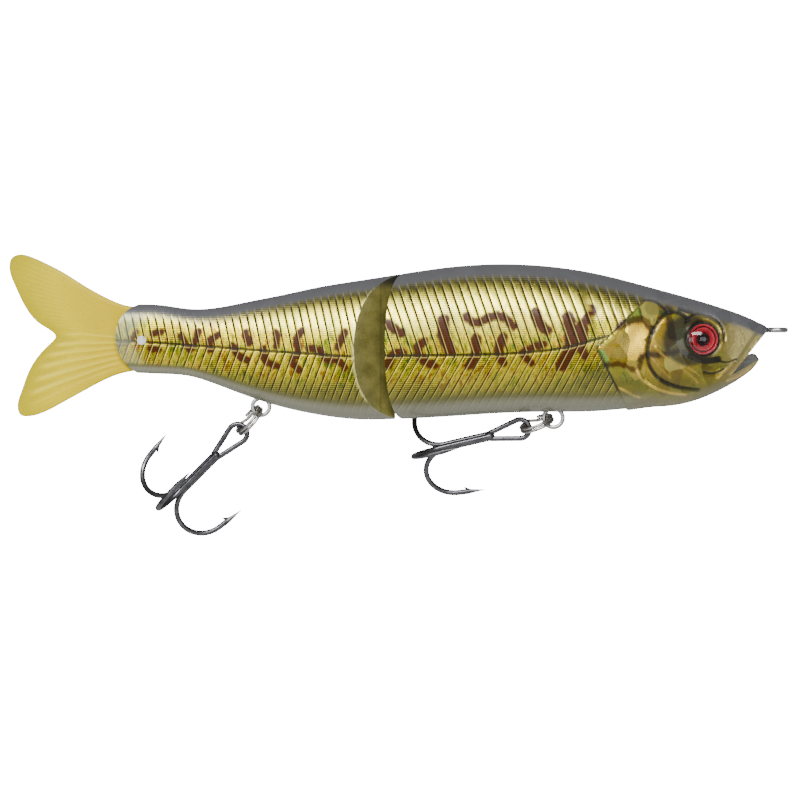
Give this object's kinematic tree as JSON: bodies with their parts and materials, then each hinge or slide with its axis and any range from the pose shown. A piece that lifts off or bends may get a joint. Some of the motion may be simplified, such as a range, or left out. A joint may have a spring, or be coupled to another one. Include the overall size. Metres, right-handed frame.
{
  "type": "swimbait",
  "caption": "Jointed hard-body fishing lure shaped like a baitfish, with a soft forked tail, a vertical hinge between two hollow sections and two treble hooks on split rings.",
  "frame": {"origin": "centre of the line tie's hole, ahead of the nose tip", "axes": "+X towards the nose along the body, +Y the fish's left side, +Z towards the back, along the line tie's hole"},
  "size_m": [0.1722, 0.025, 0.0629],
  "materials": {
    "painted_shell": "gold foil under clear coat, dark back and pearl belly",
    "eye_colour": "red printed disc with a dark round pupil",
    "eye_lens": "clear domed",
    "stainless_wire": "drawn bright wire",
    "pin_metal": "cut end, satin",
    "ballast": "cast, dull grey",
    "soft_tail": "translucent soft plastic",
    "nickel_ring": "dark nickel plate",
    "black_nickel": "black nickel plate"
  },
  "bodies": {
    "front_section": {"front_shell_left": "painted_shell", "front_shell_right": "painted_shell", "eye_disc_left": "eye_colour", "eye_disc_right": "eye_colour", "eye_lens_left": "eye_lens", "eye_lens_right": "eye_lens", "line_tie": "stainless_wire", "hinge_eye_upper": "stainless_wire", "hinge_eye_lower": "stainless_wire", "front_hook_hanger": "stainless_wire", "front_belly_weight": "ballast"},
    "rear_section": {"rear_shell_left": "painted_shell", "rear_shell_right": "painted_shell", "hinge_pin": "stainless_wire", "rear_hook_hanger": "stainless_wire", "rear_belly_weight": "ballast", "tail_pin": "pin_metal", "soft_tail": "soft_tail"},
    "front_ring": {"front_split_ring": "nickel_ring"},
    "front_hook": {"front_treble_hook": "black_nickel"},
    "rear_ring": {"rear_split_ring": "nickel_ring"},
    "rear_hook": {"rear_treble_hook": "black_nickel"}
  },
  "joints": [
    {"name": "body_joint", "type": "hinge", "parent": "front_section", "child": "rear_section", "pos_m": [-0.0858, 0, 0], "axis": [0, 0, 1], "range_deg": [-29, 29]},
    {"name": "front_ring_swing", "type": "hinge", "parent": "front_section", "child": "front_ring", "pos_m": [-0.04981, 0.00008, -0.01951], "axis": [0, 1, 0], "range_deg": [-75, 0]},
    {"name": "front_hook_swing", "type": "hinge", "parent": "front_ring", "child": "front_hook", "pos_m": [-0.05648, 0.0017, -0.02181], "axis": [0, 1, 0], "range_deg": [-35, 0]},
    {"name": "rear_ring_swing", "type": "hinge", "parent": "rear_section", "child": "rear_ring", "pos_m": [-0.11432, 0.00002, -0.01721], "axis": [0, 1, 0], "range_deg": [-60, 10]},
    {"name": "rear_hook_swing", "type": "hinge", "parent": "rear_ring", "child": "rear_hook", "pos_m": [-0.11906, 0.00053, -0.02266], "axis": [0, 1, 0], "range_deg": [-35, 35]}
  ]
}
